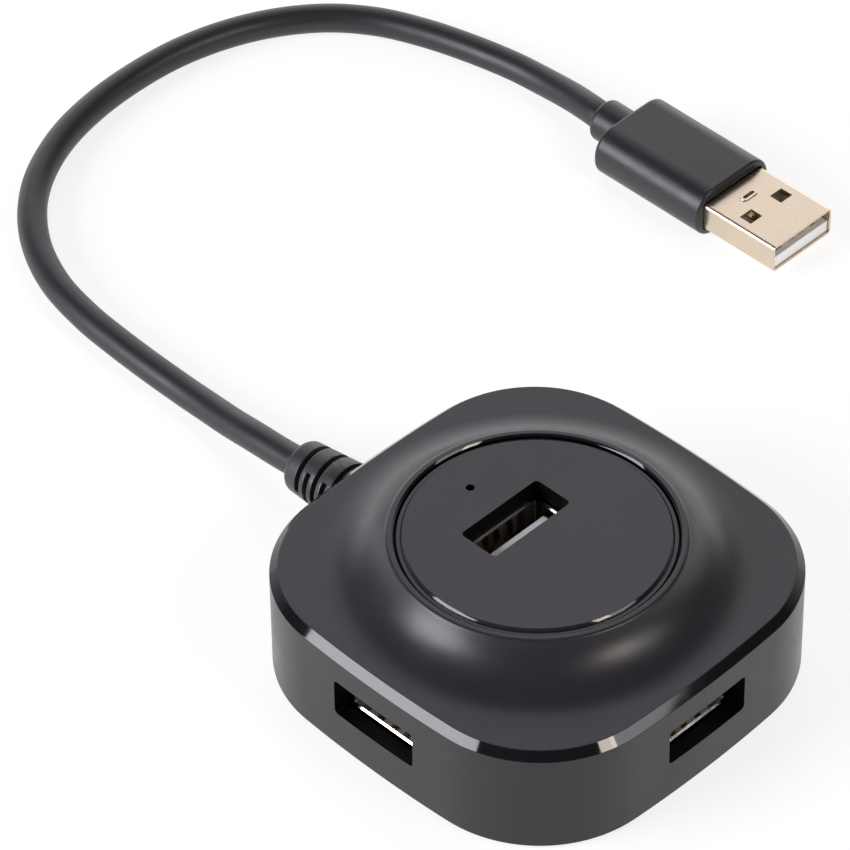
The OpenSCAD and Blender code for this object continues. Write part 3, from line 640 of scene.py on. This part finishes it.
def make_materials():
    """One finish for each material of the hub."""
    charcoal = (0.0195, 0.0187, 0.0232)
    return {
        "deck": plastic("deck_texture", charcoal, 0.34, 0.16, 0.003, 0.02),
        "polish": plastic("polished_edge", (0.006, 0.006, 0.008), 0.05, 0.5, 0.0001, 0.015),
        "wall": plastic("wall_satin", (0.01, 0.0097, 0.0107), 0.32, 0.2, 0.0012, 0.03, level=0.44),
        # Hollows, seat and cut openings of the moulding: the same plastic painted near black as shade, with
        # little reflection.
        "inside": plastic("inside_matte", (0.002, 0.002, 0.0023), 0.45, 0.2, 0.003, 0.05, level=0.12),
        "cover": plastic("cover_texture", (0.018, 0.018, 0.02), 0.5, 0.18, 0.006, 0.05, 0.3),
        "disk": plastic("disk_gloss", charcoal, 0.08, 0.3, 0.000004, 0.01),
        "light_pipe": clear_plastic("clear_acrylic"),
        "board": board_finish("solder_mask"),
        "socket_steel": metal("tinned_steel", (0.6, 0.56, 0.54), 0.12, (1, 1, 8), 0.12, 0.0002, 0.1),
        "insulator": plastic("white_insulator", (0.93, 0.94, 0.95), 0.3, 0.25, 0.0015, 0.05),
        "contact_gold": metal("gold_contact", (0.86, 0.62, 0.27), 0.2, (1, 6, 6), 0.06),
        "chip": plastic("moulded_epoxy", (0.018, 0.018, 0.02), 0.55, 0.12, 0.004, 0.06, 0.2),
        "crystal_can": metal("crystal_can", (0.66, 0.67, 0.69), 0.24, (6, 1, 1)),
        "led_body": plastic("led_package", (0.78, 0.76, 0.62), 0.3, 0.2, 0.002),
        "can_metal": metal("can_aluminium", (0.7, 0.71, 0.74), 0.3, (1, 1, 10), 0.1),
        "capacitor_body": plastic("fired_ceramic", (0.36, 0.24, 0.14), 0.5, 0.1, 0.003, 0.06, 0.3),
        "resistor_body": plastic("resistor_film", (0.025, 0.025, 0.03), 0.35, 0.1, 0.002, 0.06, 0.3),
        "wire": plastic("wire_insulation", (0.28, 0.05, 0.05), 0.35, 0.3, 0.002),
        "relief": plastic("soft_pvc", (0.026, 0.026, 0.028), 0.42, 0.26, 0.03, 0.05, 0.3),
        "cable": plastic("cable_pvc", (0.0165, 0.0155, 0.0182), 0.42, 0.3, 0.004, 0.04),
        "grip": plastic("grip_pvc", (0.0165, 0.0158, 0.0182), 0.34, 0.2, 0.022, 0.04, 0.2),
        "plug_steel": metal("warm_nickel", (0.72, 0.61, 0.47), 0.26, (1, 12, 1), 0.1, 0.00015, 0.3),
        "foot": plastic("foot_rubber", (0.014, 0.014, 0.015), 0.75, 0.2, 0.01, 0.06, 0.3),
        "screw": metal("zinc_screw", (0.55, 0.55, 0.58), 0.32),
    }


# Finish of each CAD node that stays visible as it is.
NODE_FINISH = {
    "bottom_cover": "cover", "light_pipe": "light_pipe", "circuit_board": "board", "hub_chip": "chip",
    "crystal": "crystal_can", "status_led": "led_body", "can_capacitors": "can_metal",
    "chip_capacitors": "capacitor_body", "chip_resistors": "resistor_body", "cable_wires": "wire",
    "strain_relief": "relief", "plug_shell": "plug_steel", "plug_tongue": "insulator",
    "plug_contacts": "contact_gold", "rubber_feet": "foot", "case_screws": "screw",
}
for side in ("left", "front", "right", "top"):
    NODE_FINISH[f"{side}_port_shell"] = "socket_steel"
    NODE_FINISH[f"{side}_port_tongue"] = "insulator"
    NODE_FINISH[f"{side}_port_contacts"] = "contact_gold"

# Widths of the rounded edges in millimetres, where the usual one doesn't fit.
USUAL_EDGE = 0.05
EDGE_WIDTHS = {
    "bottom_cover": 0.15, "strain_relief": 0.14, "plug_shell": 0.06, "plug_tongue": 0.12,
    "rubber_feet": 0.2,
}


def finish_cad_nodes(materials):
    """Gives each CAD node that stays its finish and its rounded edges."""
    for node, finish in NODE_FINISH.items():
        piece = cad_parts[node]
        piece.data.materials.clear()
        piece.data.materials.append(materials[finish])
        soften_cad(node, EDGE_WIDTHS.get(node, USUAL_EDGE))


# ---------------------------------------------------------------- floor and light

FLOOR_HALF = 3
LIGHT_AIM = mm(0, 0, 16)
LIGHT_DISTANCE = 1.6


def make_floor():
    """The pale table, bright enough of itself to fade into the background."""
    bm = bmesh.new()
    bmesh.ops.create_grid(bm, x_segments=1, y_segments=1, size=FLOOR_HALF)
    floor = mesh_object("floor", bm)
    s = Shader("pale_floor")
    paper = s.noise(60, 3)
    s.set(
        Base_Color=s.mix(s.spread(paper, 0, 1), (0.3, 0.3, 0.3), (0.32, 0.32, 0.32)),
        Roughness=0.8, Specular_IOR_Level=0.1, Emission_Color=(1, 1, 1, 1), Emission_Strength=0.8,
    )
    floor.data.materials.append(s.material)


def softbox(name, direction, width, height, radiance, colour):
    """Rectangular soft light that faces the hub from a direction. Its upper edge stays level."""
    data = bpy.data.lights.new(name, "AREA")
    data.shape = "RECTANGLE"
    data.size = width
    data.size_y = height
    data.energy = radiance * math.pi * width * height
    data.color = colour
    lamp = add_object(name, data)
    back = Vector(direction).normalized()
    lamp.rotation_mode = "QUATERNION"
    lamp.rotation_quaternion = back.to_track_quat("Z", "Y")
    lamp.location = LIGHT_AIM + back * LIGHT_DISTANCE


def make_world():
    """Dim studio round the object, lighter towards the horizon, and plain pale where it is seen directly."""
    world = bpy.data.worlds.new("studio")
    bpy.context.scene.world = world
    world.use_nodes = True
    tree = world.node_tree
    tree.nodes.clear()
    place = tree.nodes.new("ShaderNodeTexCoord")
    split = tree.nodes.new("ShaderNodeSeparateXYZ")
    ramp = tree.nodes.new("ShaderNodeValToRGB")
    sky = tree.nodes.new("ShaderNodeBackground")
    plain = tree.nodes.new("ShaderNodeBackground")
    seen = tree.nodes.new("ShaderNodeLightPath")
    pick = tree.nodes.new("ShaderNodeMixShader")
    output = tree.nodes.new("ShaderNodeOutputWorld")
    ramp.color_ramp.elements[0].position = 0.05
    ramp.color_ramp.elements[0].color = (0.75, 0.75, 0.77, 1)
    ramp.color_ramp.elements[1].position = 0.3
    ramp.color_ramp.elements[1].color = (0.06, 0.06, 0.065, 1)
    plain.inputs["Color"].default_value = (0.95, 0.95, 0.95, 1)
    links = (
        (place.outputs["Generated"], split.inputs[0]), (split.outputs["Z"], ramp.inputs[0]),
        (ramp.outputs[0], sky.inputs["Color"]), (seen.outputs["Is Camera Ray"], pick.inputs[0]),
        (sky.outputs[0], pick.inputs[1]), (plain.outputs[0], pick.inputs[2]),
        (pick.outputs[0], output.inputs[0]),
    )
    for start, end in links:
        tree.links.new(start, end)


def make_lights():
    """Each box: name, direction, width and height in metres, radiance, colour. The left box ends where
    the glossy disk would otherwise mirror it in a view from behind."""
    softbox("left_softbox", (-0.725, 0.319, 0.34), 0.9, 0.92, 10.0, (0.96, 0.93, 1.0))
    softbox("front_softbox", (0.32, -0.73, 0.58), 0.6, 0.42, 4.0, (0.97, 0.94, 1.0))
    softbox("front_warm", (0.1, -0.745, 0.64), 0.28, 0.36, 13.0, (1.0, 0.9, 0.76))
    softbox("back_softbox", (0.51, 0.52, 0.68), 1.3, 1.1, 1.05, (0.98, 0.96, 1.0))
    softbox("back_wall", (0.69, 0.72, 0.2), 2.6, 0.9, 1.5, (0.98, 0.97, 1.0))


# ---------------------------------------------------------------- assembly

make_camera()
MATERIALS = make_materials()
cable = make_cable(MATERIALS["cable"])
grip = make_grip(MATERIALS["grip"])
# The last housing zone and the disk's cut faces take the finish painted near black as shade.
make_housing([MATERIALS[zone] for zone in ("deck", "polish", "wall", "inside")])
make_disk(MATERIALS["disk"], MATERIALS["inside"])
finish_cad_nodes(MATERIALS)
make_floor()
make_world()
make_lights()
bpy.context.scene.view_settings.view_transform = "Standard"
